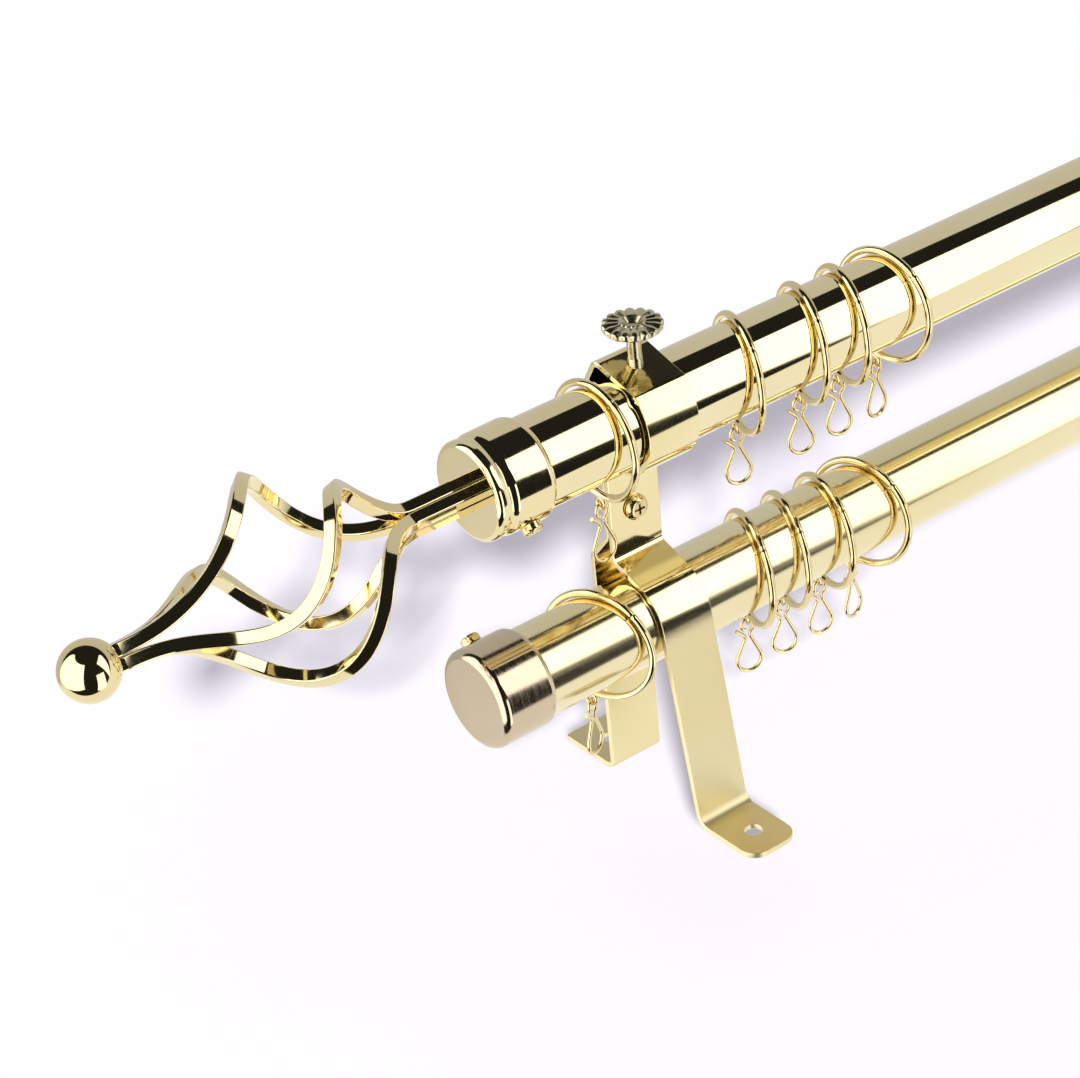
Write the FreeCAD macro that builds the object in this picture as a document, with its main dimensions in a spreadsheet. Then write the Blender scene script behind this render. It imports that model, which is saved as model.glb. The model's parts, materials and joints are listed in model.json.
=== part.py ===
import FreeCAD, Part
import math
import os

# Double curtain pole, millimetres. +X runs along the poles, +Z points away from the wall
# plane, and Z = 0 is the wall plane, on which the feet of both brackets lie. The origin is
# the middle of the four wall screws, two in each bracket. Both pole axes lie in one plane
# across Y, a little to the far side of the origin, because the near foot reaches further.

os.makedirs("parts", exist_ok=True)
doc = FreeCAD.newDocument("double_curtain_pole")

# Driving dimensions

SIZES = {
    "bracket_spacing": 600.0,
    "tube_radius": 12.5,
    "tube_wall": 0.9,
    "front_axis": 115.5,
    "back_axis": 55.0,
    "front_overhang": 53.0,
    "back_overhang": 58.0,
    "strap_width": 16.5,
    "strap_thick": 1.6,
    "seat_gap": 0.25,
    "bend_radius": 2.4,
    "flat_front": 5.6,
    "layer_gap": 0.1,
    "collar_shoulder": 150.0,
    "collar_exit": 23.0,
    "plateau_gap": 0.4,
    "saddle_rise": 4.0,
    "near_fold": 23.6,
    "near_hole_out": 12.4,
    "near_corner": 5.0,
    "far_fold_gap": 0.9,
    "far_hole_out": 11.1,
    "far_corner": 1.0,
    "far_leg_gap": 1.9,
    "hole_to_end": 9.5,
    "jog_top_rise": 10.5,
    "jog_foot_rise": 2.0,
    "wall_hole_radius": 2.5,
    "clamp_rise": 17.8,
    "clamp_radius": 2.0,
    "clamp_clearance": 0.2,
    "pan_radius": 3.6,
    "pan_height": 2.0,
    "nut_radius": 4.04,
    "nut_height": 3.2,
    "thumb_shaft": 2.0,
    "thumb_clearance": 0.06,
    "thumb_tip_gap": 0.3,
    "thumb_lift": 11.1,
    "thumb_radius": 8.0,
    "thumb_rim": 3.0,
    "thumb_dome": 1.3,
    "petals": 16.0,
    "petal_groove": 0.75,
    "cup_length": 18.0,
    "cup_wall": 1.25,
    "cup_lip_drop": 0.3,
    "cup_neck_drop": 0.9,
    "cup_bead_rise": 0.15,
    "cup_face": 2.0,
    "cup_bore_gap": 0.15,
    "cap_length": 16.8,
    "cap_wall": 1.25,
    "cap_round": 2.2,
    "set_screw_radius": 1.5,
    "set_head_radius": 2.7,
    "set_head_height": 2.4,
    "cup_screw_line": 11.0,
    "cap_screw_line": 9.4,
    "bar_side": 3.5,
    "bar_gap": 0.12,
    "cage_radius": 26.0,
    "cage_length": 86.5,
    "cage_offset": 17.0,
    "cage_twist": 123.0,
    "cage_start": 103.0,
    "cage_skew": 1.32,
    "cage_lag": 1.42,
    "bar_inset": 6.0,
    "bar_weld": 1.0,
    "ball_radius": 7.8,
    "ball_flat": 6.1,
    "ring_play": 2.4,
    "ring_wire": 1.05,
    "ring_gap": 0.3,
    "eye_radius": 1.5,
    "eye_wire": 0.6,
    "eye_weld": 0.5,
    "clip_wire": 0.55,
    "clip_eye": 1.75,
    "clip_play": 0.1,
    "clip_half_width": 3.5,
    "clip_neck": 4.6,
    "clip_length": 15.8,
}

# Where each ring hangs, along X from the left bracket, how far it is turned about Z, and how
# far it has rolled round its pole

RING_PLACES = {
    "front_ring_1": (-14.5, 0.0, 0.0),
    "front_ring_2": (33.6, -18.0, 12.0),
    "front_ring_3": (56.0, -18.0, 12.0),
    "front_ring_4": (70.0, -16.0, 12.0),
    "front_ring_5": (85.5, 6.0, 12.0),
    "back_ring_1": (-19.0, 22.0, 12.0),
    "back_ring_2": (33.4, -18.0, 12.0),
    "back_ring_3": (46.5, -18.0, 12.0),
    "back_ring_4": (60.5, -12.0, 12.0),
    "back_ring_5": (74.5, 12.0, 12.0),
}

sheet = doc.addObject("Spreadsheet::Sheet", "sizes")
row = 1
for alias, value in SIZES.items():
    sheet.set("A%d" % row, alias)
    sheet.set("B%d" % row, str(value))
    sheet.setAlias("B%d" % row, alias)
    row += 1
for alias, (place, turn, roll) in RING_PLACES.items():
    for suffix, value in (("place", place), ("turn", turn), ("roll", roll)):
        sheet.set("A%d" % row, "%s_%s" % (alias, suffix))
        sheet.set("B%d" % row, str(value))
        sheet.setAlias("B%d" % row, "%s_%s" % (alias, suffix))
        row += 1
doc.recompute()


def size(alias):
    return float(sheet.get(alias))


# Places of the feet, by their distance from the plane of the pole axes. That plane is as far
# from the origin as the screw holes are uneven about it.

far_fold = size("tube_radius") + size("far_fold_gap")
near_hole = size("near_fold") + size("near_hole_out")
far_hole = far_fold + size("far_hole_out")
near_end = near_hole + size("hole_to_end")
far_end = far_hole + size("hole_to_end")
pole_plane = (near_hole - far_hole) / 2
POLE_PLANE_RULE = ("(sizes.near_fold + sizes.near_hole_out"
                   " - sizes.tube_radius - sizes.far_fold_gap - sizes.far_hole_out) / 2")

pieces = []


def keep(obj, label):
    """Name an object as a finished piece of the set."""
    obj.Label = label
    pieces.append(obj)
    return obj


# Bent outlines: a list of corners, each with the radius of its bend

def unit(a, b):
    length = math.hypot(b[0] - a[0], b[1] - a[1])
    return ((b[0] - a[0]) / length, (b[1] - a[1]) / length)


def bent_edges(corners, radii, closed=False):
    """Straight and arc edges along a run of corners, every bend tangent to its two runs."""
    count = len(corners)
    edges = []
    first = None
    last = None if closed else corners[0]
    inner = range(count) if closed else range(1, count - 1)
    for i in inner:
        before = corners[i - 1]
        here = corners[i]
        after = corners[(i + 1) % count]
        way_in = unit(before, here)
        way_out = unit(here, after)
        cross = way_in[0] * way_out[1] - way_in[1] * way_out[0]
        dot = way_in[0] * way_out[0] + way_in[1] * way_out[1]
        turn = math.atan2(cross, dot)
        setback = radii[i] * math.tan(abs(turn) / 2)
        start = (here[0] - way_in[0] * setback, here[1] - way_in[1] * setback)
        end = (here[0] + way_out[0] * setback, here[1] + way_out[1] * setback)
        if last is not None and math.dist(last, start) > 1e-6:
            edges.append(("line", last, start))
        if first is None:
            first = start
        if radii[i] > 0:
            middle = ((way_out[0] - way_in[0]), (way_out[1] - way_in[1]))
            length = math.hypot(middle[0], middle[1])
            rise = radii[i] * (1 / math.cos(turn / 2) - 1)
            centre = (here[0] + middle[0] / length * rise, here[1] + middle[1] / length * rise)
            edges.append(("arc", start, centre, end))
        last = end
    finish = first if closed else corners[-1]
    if math.dist(last, finish) > 1e-6:
        edges.append(("line", last, finish))
    return edges


def side_run(corners, radii, shift):
    """The same run moved to its left by shift, with each bend's radius to match."""
    moved = []
    moved_radii = []
    count = len(corners)
    for i in range(count):
        here = corners[i]
        way_in = unit(corners[max(i - 1, 0)], corners[max(i, 1)])
        way_out = unit(corners[min(i, count - 2)], corners[min(i + 1, count - 1)])
        left_in = (-way_in[1], way_in[0])
        left_out = (-way_out[1], way_out[0])
        share = shift / (1 + left_in[0] * left_out[0] + left_in[1] * left_out[1])
        moved.append((here[0] + (left_in[0] + left_out[0]) * share,
                      here[1] + (left_in[1] + left_out[1]) * share))
        cross = way_in[0] * way_out[1] - way_in[1] * way_out[0]
        moved_radii.append(radii[i] - shift * math.copysign(1, cross) if radii[i] else 0.0)
    return moved, moved_radii


def draw(sketch, edges):
    for edge in edges:
        points = [FreeCAD.Vector(x, y, 0) for x, y in edge[1:]]
        if edge[0] == "line":
            sketch.addGeometry(Part.LineSegment(points[0], points[1]), False)
        else:
            sketch.addGeometry(Part.Arc(points[0], points[1], points[2]), False)


def path_wire(edges):
    """A wire in the XZ plane from the same kind of edges."""
    made = []
    for edge in edges:
        points = [FreeCAD.Vector(x, 0, z) for x, z in edge[1:]]
        if edge[0] == "line":
            made.append(Part.LineSegment(points[0], points[1]).toShape())
        else:
            made.append(Part.Arc(points[0], points[1], points[2]).toShape())
    return Part.Wire(made)


def plane(body, role):
    for feature in body.Origin.OriginFeatures:
        if feature.Role == role:
            return feature


def body_sketch(label, role):
    body = doc.addObject("PartDesign::Body", label + "_body")
    sketch = body.newObject("Sketcher::SketchObject", label + "_outline")
    sketch.AttachmentSupport = (plane(body, role), [""])
    sketch.MapMode = "FlatFace"
    return body, sketch


def turned_body(label, corners, radii):
    """A body turned about X from an outline of (x, radius) corners."""
    body, sketch = body_sketch(label, "XY_Plane")
    draw(sketch, bent_edges(corners, radii, closed=True))
    turned = body.newObject("PartDesign::Revolution", label + "_turned")
    turned.Profile = sketch
    turned.ReferenceAxis = (sketch, ["H_Axis"])
    turned.Angle = 360.0
    return body


def rod(label, radius, length, base, direction):
    """A cylinder whose radius is bound to a cell; length is an expression."""
    obj = doc.addObject("Part::Cylinder", label)
    obj.setExpression("Radius", radius)
    obj.setExpression("Height", length)
    obj.Placement = FreeCAD.Placement(
        FreeCAD.Vector(*base),
        FreeCAD.Rotation(FreeCAD.Vector(0, 0, 1), FreeCAD.Vector(*direction)))
    return obj


def cut(label, base, tools):
    obj = doc.addObject("Part::Cut", label)
    obj.Base = base
    if len(tools) == 1:
        obj.Tool = tools[0]
    else:
        group = doc.addObject("Part::Compound", label + "_tools")
        group.Links = tools
        obj.Tool = group
    return obj


def fuse(label, shapes):
    obj = doc.addObject("Part::MultiFuse", label)
    obj.Shapes = shapes
    return obj


# Poles: plain tubes, open at the ends, which the cups and caps cover

def make_pole(label, axis, overhang):
    half = size("bracket_spacing") / 2 + size(overhang)
    length = "sizes.bracket_spacing + 2 * sizes.%s" % overhang
    outside = rod(label + "_outside", "sizes.tube_radius", length, (0, 0, 0), (1, 0, 0))
    inside = rod(label + "_inside", "sizes.tube_radius - sizes.tube_wall", length, (0, 0, 0), (1, 0, 0))
    pole = cut(label, outside, [inside])
    pole.Placement = FreeCAD.Placement(
        FreeCAD.Vector(-half, pole_plane, size(axis)), FreeCAD.Rotation())
    keep(pole, label)


make_pole("front_pole", "front_axis", "front_overhang")
make_pole("back_pole", "back_axis", "back_overhang")

# Bracket: one flat strip. It starts at the near foot, climbs the slanted leg, goes over the
# back pole, up the front layer of the double flat, round the front pole as a collar with a
# flat plateau for the thumbscrew, down the rear layer, out by a jog, and down to the far foot.

half_thick = size("strap_thick") / 2
seat_radius = size("tube_radius") + size("seat_gap") + half_thick
layer_front = size("flat_front")
layer_rear = layer_front + size("strap_thick") + size("layer_gap")
back_top = size("back_axis") + size("tube_radius")
screw_z = back_top + size("clamp_rise")


def tangent_meet(axis, first_normal, second_normal):
    """Where two lines that touch the seat circle round a pole cross, by their normals."""
    middle = math.radians((first_normal + second_normal) / 2)
    spread = math.radians(abs(first_normal - second_normal) / 2)
    reach = seat_radius / math.cos(spread)
    return (reach * math.cos(middle), axis + reach * math.sin(middle))


def touching_normal(axis, point, side):
    """Normal of the line through a point that touches the seat circle on the given side."""
    away = math.hypot(point[0], point[1] - axis)
    angle = math.degrees(math.atan2(point[1] - axis, point[0]))
    return angle + side * math.degrees(math.acos(seat_radius / away))


def strap_run():
    front = size("front_axis")
    back = size("back_axis")
    bend = size("bend_radius")
    near_fold = (-size("near_fold"), half_thick)
    saddle_start = (layer_front, back_top + size("saddle_rise"))
    over = touching_normal(back, saddle_start, 1)
    down = touching_normal(back, near_fold, -1) % 360
    shoulder = size("collar_shoulder")
    plateau = size("tube_radius") + size("plateau_gap") + half_thick
    lean = math.radians(shoulder)
    corner = (seat_radius - plateau * math.sin(lean)) / math.cos(lean)
    exit_normal = -size("collar_exit")
    lean_out = math.radians(exit_normal)
    exit_drop = (seat_radius - layer_rear * math.cos(lean_out)) / math.sin(lean_out)
    run = [
        ((-near_end, half_thick), 0.0),
        (near_fold, bend),
        (tangent_meet(back, down, over), seat_radius),
        (saddle_start, bend),
        ((layer_front, front - seat_radius), bend),
        ((-seat_radius, front - seat_radius), seat_radius),
        (tangent_meet(front, 180, shoulder), seat_radius),
        ((corner, front + plateau), bend),
        ((-corner, front + plateau), bend),
        (tangent_meet(front, 180 - shoulder, 0), seat_radius),
        (tangent_meet(front, 0, exit_normal), seat_radius),
        ((layer_rear, front + exit_drop), bend),
        ((layer_rear, back_top + size("jog_top_rise")), bend),
        ((size("tube_radius") + size("far_leg_gap"), back_top + size("jog_foot_rise")), bend),
        ((far_fold, half_thick), bend),
        ((far_end, half_thick), 0.0),
    ]
    return [place for place, radius in run], [radius for place, radius in run]


def strap_outline():
    corners, radii = strap_run()
    left, left_radii = side_run(corners, radii, half_thick)
    right, right_radii = side_run(corners, radii, -half_thick)
    right.reverse()
    right_radii.reverse()
    edges = bent_edges(left, left_radii)
    edges.append(("line", left[-1], right[0]))
    edges += bent_edges(right, right_radii)
    edges.append(("line", right[-1], left[0]))
    return edges


def make_bracket(label, centre):
    body, sketch = body_sketch(label, "YZ_Plane")
    draw(sketch, strap_outline())
    strip = body.newObject("PartDesign::Pad", label + "_strip")
    strip.Profile = sketch
    strip.setExpression("Length", "sizes.strap_width")
    doc.recompute()
    carrier = strip
    for foot, end in (("near", -near_end), ("far", far_end)):
        rounded = []
        for number, edge in enumerate(body.Shape.Edges, 1):
            box = edge.BoundBox
            upright = box.ZLength > half_thick and box.XLength + box.YLength < 1e-6
            if upright and abs(box.YMin - end) < 1e-6:
                rounded.append("Edge%d" % number)
        corners = body.newObject("PartDesign::Fillet", "%s_%s_corners" % (label, foot))
        corners.Base = (carrier, rounded)
        corners.setExpression("Radius", "min(sizes.%s_corner; sizes.strap_width * 0.45)" % foot)
        doc.recompute()
        carrier = corners
    middle = size("strap_width") / 2
    drills = []
    for foot, place in (("near", -near_hole), ("far", far_hole)):
        drills.append(rod("%s_%s_hole" % (label, foot), "sizes.wall_hole_radius",
                          "sizes.strap_thick * 3", (middle, place, -size("strap_thick")), (0, 0, 1)))
    drills.append(rod(label + "_clamp_hole", "sizes.clamp_radius + sizes.clamp_clearance",
                      "sizes.strap_thick * 6",
                      (middle, layer_front - 2 * size("strap_thick"), screw_z), (0, 1, 0)))
    drills.append(rod(label + "_thumb_hole", "sizes.thumb_shaft + sizes.thumb_clearance",
                      "sizes.strap_thick * 4",
                      (middle, 0, size("front_axis") + size("tube_radius")), (0, 0, 1)))
    bracket = cut(label, body, drills)
    bracket.setExpression("Placement.Base.x",
                          "%s * sizes.bracket_spacing / 2 - sizes.strap_width / 2" % centre)
    bracket.setExpression("Placement.Base.y", POLE_PLANE_RULE)
    keep(bracket, label)


# Clamp screw with a cross recess, and its nut, on the two layers of the double flat

def make_clamp(side, centre):
    head_face = layer_front - half_thick
    tail = layer_rear + half_thick + size("nut_height") + 0.8
    x = centre * size("bracket_spacing") / 2
    label = "clamp_screw_" + side
    length = tail - head_face
    shank = rod(label + "_shank", "sizes.clamp_radius", "%s" % length, (0, 0, 0), (0, 1, 0))
    head = rod(label + "_head", "sizes.pan_radius", "sizes.pan_height",
               (0, -size("pan_height"), 0), (0, 1, 0))
    blank = fuse(label + "_blank", [head, shank])
    doc.recompute()
    rim = []
    for number, edge in enumerate(blank.Shape.Edges, 1):
        box = edge.BoundBox
        if box.YLength < 1e-6 and abs(box.YMin + size("pan_height")) < 1e-6 and box.XLength > 1:
            rim.append((number, size("pan_height") * 0.6, size("pan_height") * 0.6))
    domed = doc.addObject("Part::Fillet", label + "_domed")
    domed.Base = blank
    domed.Edges = rim
    slots = []
    for turn in (0, 90):
        slot = doc.addObject("Part::Box", "%s_slot_%d" % (label, turn))
        slot.setExpression("Length", "sizes.pan_radius")
        slot.setExpression("Height", "sizes.pan_radius / 5")
        slot.setExpression("Width", "sizes.pan_height")
        offset = FreeCAD.Vector(-size("pan_radius") / 2, -1.5 * size("pan_height"),
                                -size("pan_radius") / 10)
        turned = FreeCAD.Rotation(FreeCAD.Vector(0, 1, 0), turn)
        slot.Placement = FreeCAD.Placement(turned.multVec(offset), turned)
        slots.append(slot)
    screw = cut(label, domed, slots)
    screw.Placement = FreeCAD.Placement(
        FreeCAD.Vector(x, pole_plane + head_face, screw_z), FreeCAD.Rotation())
    keep(screw, label)
    label = "clamp_nut_" + side
    hexagon = doc.addObject("Part::Prism", label + "_hexagon")
    hexagon.Polygon = 6
    hexagon.setExpression("Circumradius", "sizes.nut_radius")
    hexagon.setExpression("Height", "sizes.nut_height")
    bore = rod(label + "_bore", "sizes.clamp_radius", "sizes.nut_height", (0, 0, 0), (0, 0, 1))
    nut = cut(label, hexagon, [bore])
    nut.Placement = FreeCAD.Placement(
        FreeCAD.Vector(x, pole_plane + layer_rear + half_thick, screw_z),
        FreeCAD.Rotation(FreeCAD.Vector(1, 0, 0), -90))
    keep(nut, label)


# Thumbscrew: a flower-shaped head with a groove between petals, on a plain shaft

def make_thumbscrew(side, centre):
    label = "thumbscrew_" + side
    radius = size("thumb_radius")
    rim = size("thumb_rim")
    top = rim + size("thumb_dome")
    shaft = size("thumb_shaft")
    neck = shaft * 1.6
    drop = size("thumb_lift") - size("thumb_tip_gap")
    outline = [(-drop, 0), (-drop, shaft), (-rim / 2, shaft), (-rim / 2, neck), (0, neck),
               (rim * 0.25, radius), (rim, radius), (top, radius * 0.45), (top - 0.9, 1.2),
               (top - 0.9, 0)]
    radii = [0, 0.4, 0, 0.4, 0.5, 0.5, 0.8, 1.0, 0.5, 0]
    head = turned_body(label, outline, radii)
    groove = size("petal_groove")
    cutters = []
    for number in range(int(size("petals"))):
        angle = 360.0 * number / size("petals")
        cutter = doc.addObject("Part::Cylinder", "%s_groove_%d" % (label, number))
        cutter.setExpression("Radius", "sizes.petal_groove")
        cutter.setExpression("Height", "sizes.thumb_radius")
        # each groove falls from near the crown to the rim
        fall = FreeCAD.Rotation(FreeCAD.Vector(0, 0, 1), FreeCAD.Vector(-0.16, 0, 1))
        start = FreeCAD.Vector(top + groove * 0.45, 0, radius * 0.38)
        around = FreeCAD.Rotation(FreeCAD.Vector(1, 0, 0), angle)
        cutter.Placement = FreeCAD.Placement(around.multVec(start), around.multiply(fall))
        cutters.append(cutter)
    screw = cut(label, head, cutters)
    x = centre * size("bracket_spacing") / 2
    screw.Placement = FreeCAD.Placement(
        FreeCAD.Vector(x, pole_plane, size("front_axis") + size("tube_radius") + size("thumb_lift")),
        FreeCAD.Rotation(FreeCAD.Vector(0, 1, 0), -90))
    keep(screw, label)


# Finial: socket cup, set screw, four twisted bars and a ball. Its own X runs inwards from
# the face of the cup, and the left one is placed as drawn, the right one turned half round.

def finial_place(side, depth):
    """Placement of a piece drawn from the end face inwards, on its pole's axis."""
    pole_end = size("bracket_spacing") / 2 + size(depth[0])
    face = pole_end + size("cup_face") + 0.5
    axis = size(depth[1])
    if side == "left":
        return FreeCAD.Placement(FreeCAD.Vector(-face, pole_plane, axis), FreeCAD.Rotation())
    return FreeCAD.Placement(FreeCAD.Vector(face, pole_plane, axis),
                             FreeCAD.Rotation(FreeCAD.Vector(0, 0, 1), 180))


FRONT_END = ("front_overhang", "front_axis")
BACK_END = ("back_overhang", "back_axis")
bore_radius = size("tube_radius") + size("cup_bore_gap")
bundle_radius = (size("bar_side") + size("bar_gap")) / math.sqrt(2)
bundle_hole = bundle_radius + size("bar_side") / math.sqrt(2) + 0.3


def set_screw_hole(label, angle, line):
    """A drill across the wall of a cup or cap, on the line of its set screw."""
    away = (0, math.cos(math.radians(angle)), math.sin(math.radians(angle)))
    inner = size("tube_radius") - size("set_screw_radius")
    start = (size(line), away[1] * inner, away[2] * inner)
    return rod(label + "_hole", "sizes.set_screw_radius", "sizes.cup_wall * 6", start, away)


def make_set_screw(label, angle, line, seat, place):
    """A small cross-head screw that bears on the tube through the wall of its cup or cap."""
    shank = rod(label + "_shank", "sizes.set_screw_radius", "%s" % (seat - size("tube_radius")),
                (0, 0, size("tube_radius")), (0, 0, 1))
    head = rod(label + "_head", "sizes.set_head_radius", "sizes.set_head_height",
               (0, 0, seat), (0, 0, 1))
    blank = fuse(label + "_blank", [shank, head])
    slots = []
    for turn in (0, 90):
        slot = doc.addObject("Part::Box", "%s_slot_%d" % (label, turn))
        slot.setExpression("Length", "sizes.set_head_radius * 2.4")
        slot.setExpression("Width", "sizes.set_head_radius / 4")
        slot.setExpression("Height", "sizes.set_head_height")
        offset = FreeCAD.Vector(-size("set_head_radius") * 1.2, -size("set_head_radius") / 8,
                                seat + size("set_head_height") * 0.5)
        turned = FreeCAD.Rotation(FreeCAD.Vector(0, 0, 1), turn + 45)
        slot.Placement = FreeCAD.Placement(turned.multVec(offset), turned)
        slots.append(slot)
    screw = cut(label, blank, slots)
    local = FreeCAD.Placement(FreeCAD.Vector(size(line), 0, 0),
                              FreeCAD.Rotation(FreeCAD.Vector(1, 0, 0), angle - 90))
    screw.Placement = place.multiply(local)
    keep(screw, label)


def make_cup(side):
    label = "finial_cup_" + side
    length = size("cup_length")
    barrel = bore_radius + size("cup_wall")
    lip = barrel - size("cup_lip_drop")
    neck = barrel - size("cup_neck_drop")
    bead = barrel + size("cup_bead_rise")
    floor = size("cup_face")
    outline = [
        (0, bundle_hole), (0, lip - 0.4), (1.2, lip), (2.5, lip), (4.0, neck), (5.8, barrel),
        (length - 3.0, barrel), (length - 2.0, bead), (length - 1.2, bead),
        (length, bead - 0.6), (length, bore_radius), (floor, bore_radius), (floor, bundle_hole)]
    radii = [0, 0.6, 0.7, 0.5, 1.2, 1.4, 0.6, 0.5, 0.5, 0.4, 0, 0, 0]
    body = turned_body(label, outline, radii)
    angle = 224.0
    cup = cut(label, body, [set_screw_hole(label, angle, "cup_screw_line")])
    place = finial_place(side, FRONT_END)
    cup.Placement = place
    keep(cup, label)
    make_set_screw("finial_screw_" + side, angle, "cup_screw_line", barrel, place)


def make_cap(side):
    label = "end_cap_" + side
    length = size("cap_length")
    wide = bore_radius + size("cap_wall")
    floor = size("cup_face")
    outline = [
        (0, 0), (0, wide), (length - 1.0, wide), (length, wide - 0.5), (length, bore_radius),
        (floor, bore_radius), (floor, 0)]
    radii = [0, size("cap_round"), 0.8, 0.2, 0, 0, 0]
    body = turned_body(label, outline, radii)
    angle = 35.0
    cap = cut(label, body, [set_screw_hole(label, angle, "cap_screw_line")])
    place = finial_place(side, BACK_END)
    cap.Placement = place
    keep(cap, label)
    make_set_screw("cap_screw_" + side, angle, "cap_screw_line", wide, place)


# Bars: square bars that leave the bundle, swell into a basket and close again. Each one is
# a smooth skin over square sections that stand across its own path, and straight at its ends.

def bar_point(x, number):
    """Centre of a bar at a place along the axis of the basket, and its angle round it."""
    share = (x + size("cage_offset") + size("cage_length")) / size("cage_length")
    share = min(max(share, 0.0), 1.0)
    swell = math.sin(math.pi * share ** size("cage_skew")) ** 2
    away = bundle_radius + (size("cage_radius") - bundle_radius) * swell
    lag = share ** size("cage_lag")
    wind = lag - math.sin(2 * math.pi * lag) / (2 * math.pi)
    angle = math.radians(size("cage_start") + 90 * number - size("cage_twist") * wind)
    return FreeCAD.Vector(x, away * math.cos(angle), away * math.sin(angle)), angle


def bar_section(x, number):
    """Square wire across a bar, one corner turned towards the axis of the basket."""
    step = 0.05
    centre, angle = bar_point(x, number)
    ahead, unused = bar_point(x + step, number)
    behind, unused = bar_point(x - step, number)
    # inside the bundle the sections stand across the bundle, where the bars lie face to face
    apart = (math.hypot(centre.y, centre.z) - bundle_radius) / size("bar_side")
    along = FreeCAD.Vector(2 * step, 0, 0) * (1 - min(apart, 1)) + (ahead - behind) * min(apart, 1)
    along.normalize()
    outward = FreeCAD.Vector(0, math.cos(angle), math.sin(angle))
    outward = outward - along * outward.dot(along)
    outward.normalize()
    aside = along.cross(outward)
    reach = size("bar_side") / math.sqrt(2)
    corners = [centre + outward * reach, centre + aside * reach,
               centre - outward * reach, centre - aside * reach]
    return Part.makePolygon(corners + [corners[0]])


def make_bar(side, number, place):
    steps = 32
    start = -size("cage_offset") - size("cage_length") - size("bar_weld")
    end = size("cup_face") + size("bar_inset")
    sections = [bar_section(start + (end - start) * step / steps, number) for step in range(steps + 1)]
    bar = doc.addObject("Part::Feature", "finial_bar_%s_%d" % (side, number + 1))
    bar.Shape = Part.makeLoft(sections, True, False)
    bar.Placement = place
    keep(bar, "finial_bar_%s_%d" % (side, number + 1))


def make_finial(side):
    place = finial_place(side, FRONT_END)
    make_cup(side)
    for number in range(4):
        make_bar(side, number, place)
    label = "finial_ball_" + side
    bundle_end = -size("cage_offset") - size("cage_length") - size("bar_weld")
    sphere = doc.addObject("Part::Sphere", label + "_sphere")
    sphere.setExpression("Radius", "sizes.ball_radius")
    flat = doc.addObject("Part::Box", label + "_flat")
    flat.setExpression("Length", "sizes.ball_radius")
    flat.setExpression("Width", "sizes.ball_radius * 2")
    flat.setExpression("Height", "sizes.ball_radius * 2")
    flat.Placement = FreeCAD.Placement(
        FreeCAD.Vector(size("ball_flat"), -size("ball_radius"), -size("ball_radius")),
        FreeCAD.Rotation())
    ball = cut(label, sphere, [flat])
    local = FreeCAD.Placement(FreeCAD.Vector(bundle_end - size("ball_flat"), 0, 0), FreeCAD.Rotation())
    ball.Placement = place.multiply(local)
    keep(ball, label)


# Rings with an eyelet, and the wire clips that hang in the eyelets

ring_inside = size("tube_radius") + size("ring_play")
ring_outside = ring_inside + 2 * size("ring_wire")
ring_drop = size("ring_play") - size("ring_gap")
eye_centre = -(ring_outside + size("eye_radius") + size("eye_wire") - size("eye_weld"))


def make_ring_pattern():
    upright = FreeCAD.Rotation(FreeCAD.Vector(0, 1, 0), 90)
    hoop = doc.addObject("Part::Torus", "ring_hoop")
    hoop.setExpression("Radius1", "sizes.tube_radius + sizes.ring_play + sizes.ring_wire")
    hoop.setExpression("Radius2", "sizes.ring_wire")
    hoop.Placement = FreeCAD.Placement(FreeCAD.Vector(0, 0, 0), upright)
    eyelet = doc.addObject("Part::Torus", "ring_eyelet")
    eyelet.setExpression("Radius1", "sizes.eye_radius")
    eyelet.setExpression("Radius2", "sizes.eye_wire")
    eyelet.Placement = FreeCAD.Placement(FreeCAD.Vector(0, 0, eye_centre), upright)
    return fuse("ring_pattern", [hoop, eyelet])


def make_clip_pattern():
    """Hairpin of round wire: open tip, pinched neck, pear-shaped loop, and an eye on top."""
    wire = size("clip_wire")
    eye = size("clip_eye")
    wide = size("clip_half_width")
    neck = -size("clip_neck")
    foot = -size("clip_length")
    top = size("eye_wire") + size("clip_play") + wire
    side = wire + 0.1
    corners = [
        (-wide, neck + 2.6), (-side, neck), (-wide, neck - 6.4), (-wide, foot), (wide, foot),
        (wide, neck - 6.4), (side, neck), (side, neck + 1.4), (eye, top - eye * 1.85), (eye, top),
        (-eye, top), (-eye, top - eye * 2), (-wire * 1.1, top - eye * 2)]
    radii = [0, 1.5, 3.0, wide * 0.98, wide * 0.98, 3.0, 1.2, 0.8, 1.0, eye * 0.99, eye * 0.99,
             eye * 0.6, 0]
    edges = bent_edges(corners, radii)
    path = doc.addObject("Part::Feature", "clip_path")
    path.Shape = path_wire(edges)
    start = edges[0][1]
    way = unit(edges[0][1], edges[0][2])
    profile = doc.addObject("Part::Circle", "clip_section")
    profile.setExpression("Radius", "sizes.clip_wire")
    profile.Placement = FreeCAD.Placement(
        FreeCAD.Vector(start[0], 0, start[1]),
        FreeCAD.Rotation(FreeCAD.Vector(0, 0, 1), FreeCAD.Vector(way[0], 0, way[1])))
    sweep = doc.addObject("Part::Sweep", "clip_pattern")
    sweep.Sections = [profile]
    sweep.Spine = (path, ["Edge%d" % (i + 1) for i in range(len(path.Shape.Edges))])
    sweep.Solid = True
    sweep.Frenet = False
    return sweep


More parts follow.
